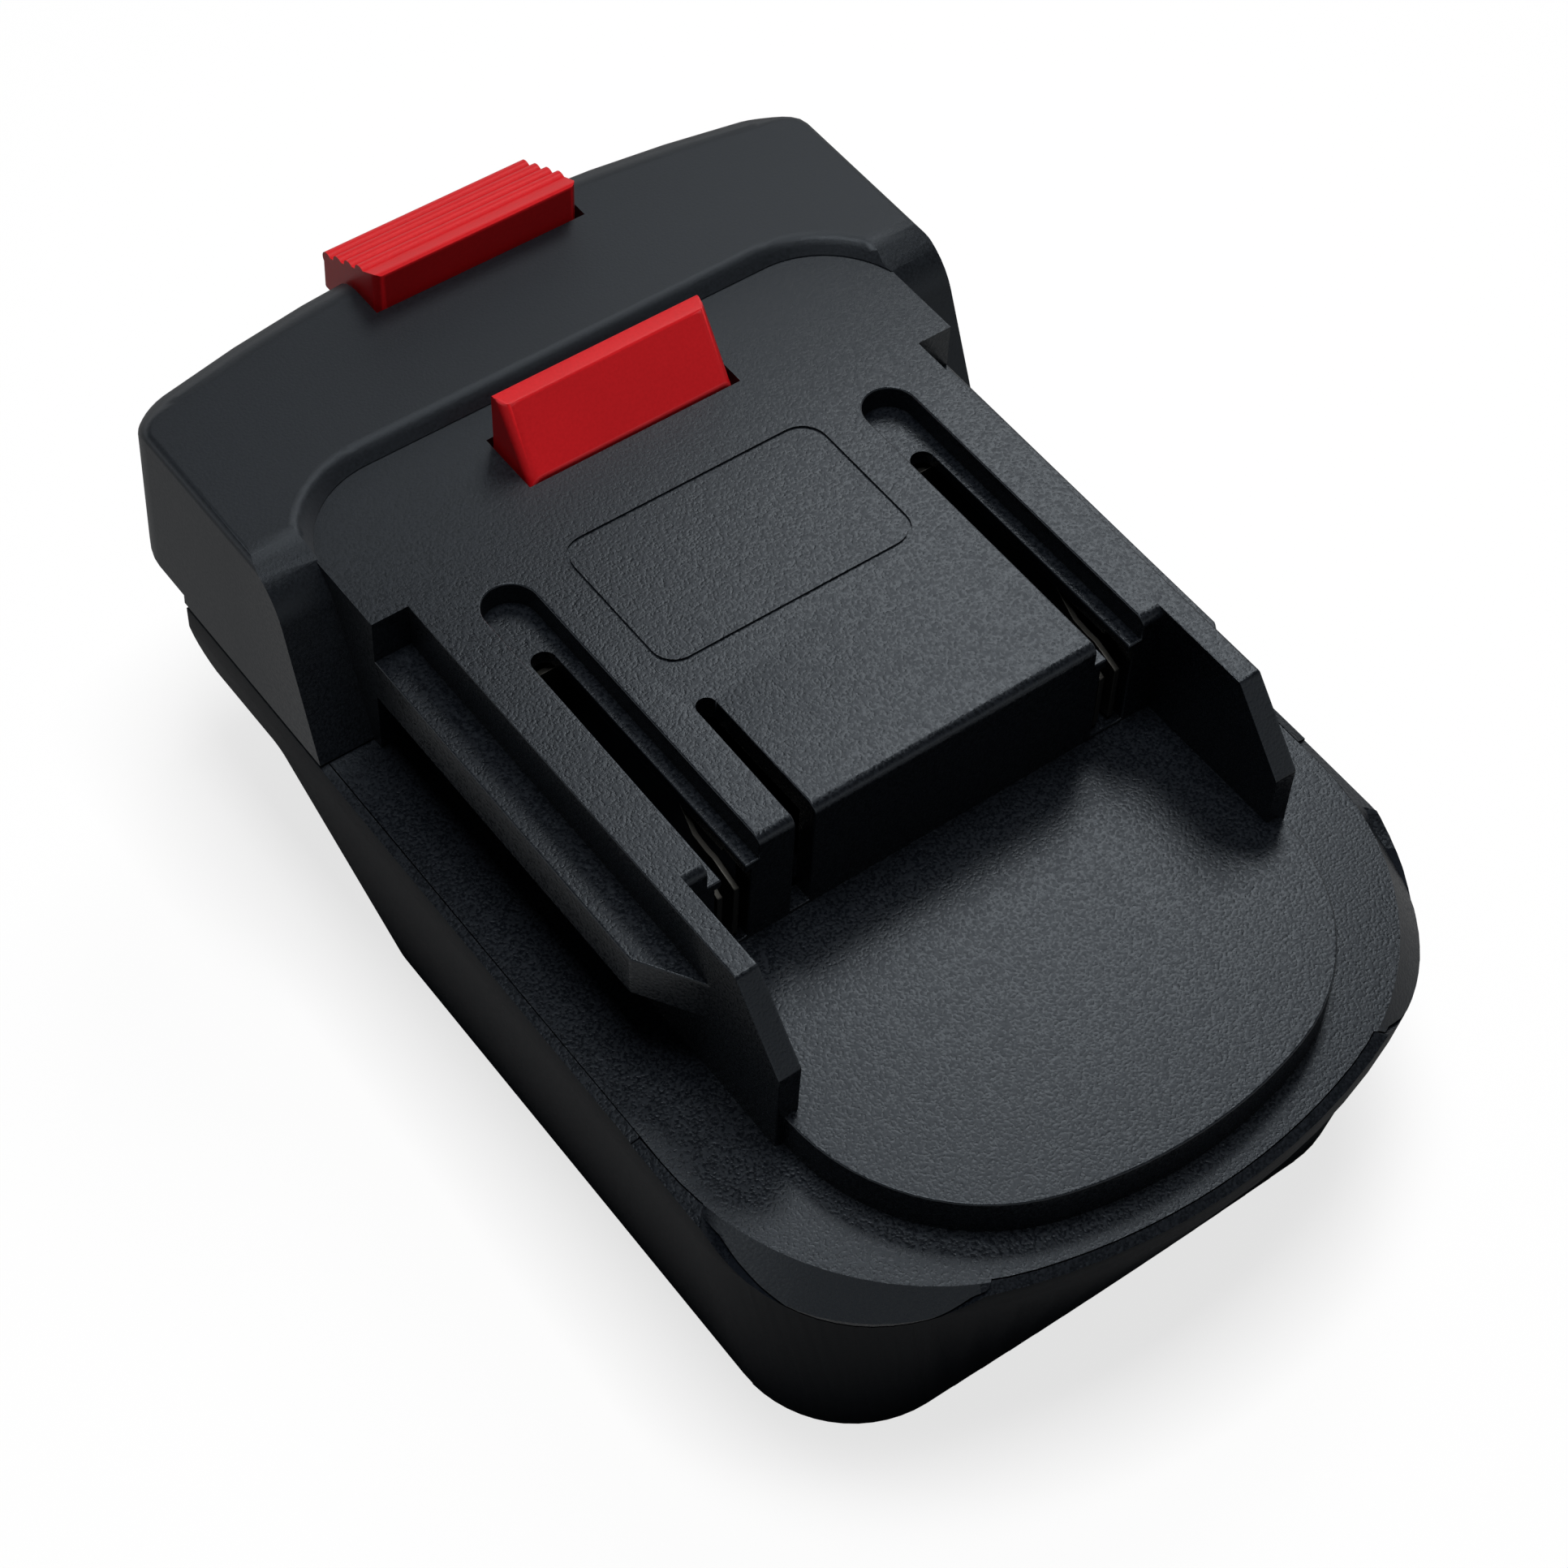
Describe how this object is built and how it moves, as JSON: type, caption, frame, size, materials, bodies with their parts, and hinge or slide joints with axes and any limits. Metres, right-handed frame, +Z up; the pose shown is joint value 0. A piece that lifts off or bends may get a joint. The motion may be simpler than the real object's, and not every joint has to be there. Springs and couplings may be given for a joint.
{
  "type": "tool battery adapter",
  "caption": "Slide-on battery adapter: black two-part housing with tool rails and slotted contact block on top, red sprung latch, and an open battery socket below.",
  "frame": {"origin": "middle of the bottom rim, on the surface that the adapter stands on", "axes": "+Z up through the deck, +Y to the rear where the latch and button are, +X to the right when looking from the nose towards the rear"},
  "size_m": [0.075, 0.12, 0.0512],
  "materials": {
    "housing_plastic": "spark-textured black moulding",
    "latch_plastic": "smooth red moulding",
    "steel": "zinc-plated steel",
    "contact_metal": "tin-plated copper strip",
    "black_insulation": "black wire insulation",
    "red_insulation": "red wire insulation",
    "white_insulation": "white wire insulation",
    "resistor_coat": "lacquered resistor body with tinned wires"
  },
  "bodies": {
    "housing": {"upper_housing": "housing_plastic", "lower_housing": "housing_plastic", "left_latch_spring": "steel", "right_latch_spring": "steel", "negative_clip": "contact_metal", "positive_clip": "contact_metal", "signal_clip": "contact_metal", "contact_holder": "housing_plastic", "holder_screws": "steel", "terminal_block": "housing_plastic", "negative_blade": "contact_metal", "positive_blade": "contact_metal", "signal_blade": "contact_metal", "block_screws": "steel", "negative_lead": "black_insulation", "positive_lead": "red_insulation", "signal_lead": "white_insulation", "id_resistor": "resistor_coat", "housing_screws": "steel"},
    "latch": {"release_latch": "latch_plastic"}
  },
  "joints": [
    {"name": "latch_press", "type": "slide", "parent": "housing", "child": "latch", "axis": [0, 0, -1], "range_m": [0, 0.0054], "stiffness_N_per_m": 900, "springref_m": -0.004, "deforming": ["left_latch_spring", "right_latch_spring"]}
  ]
}
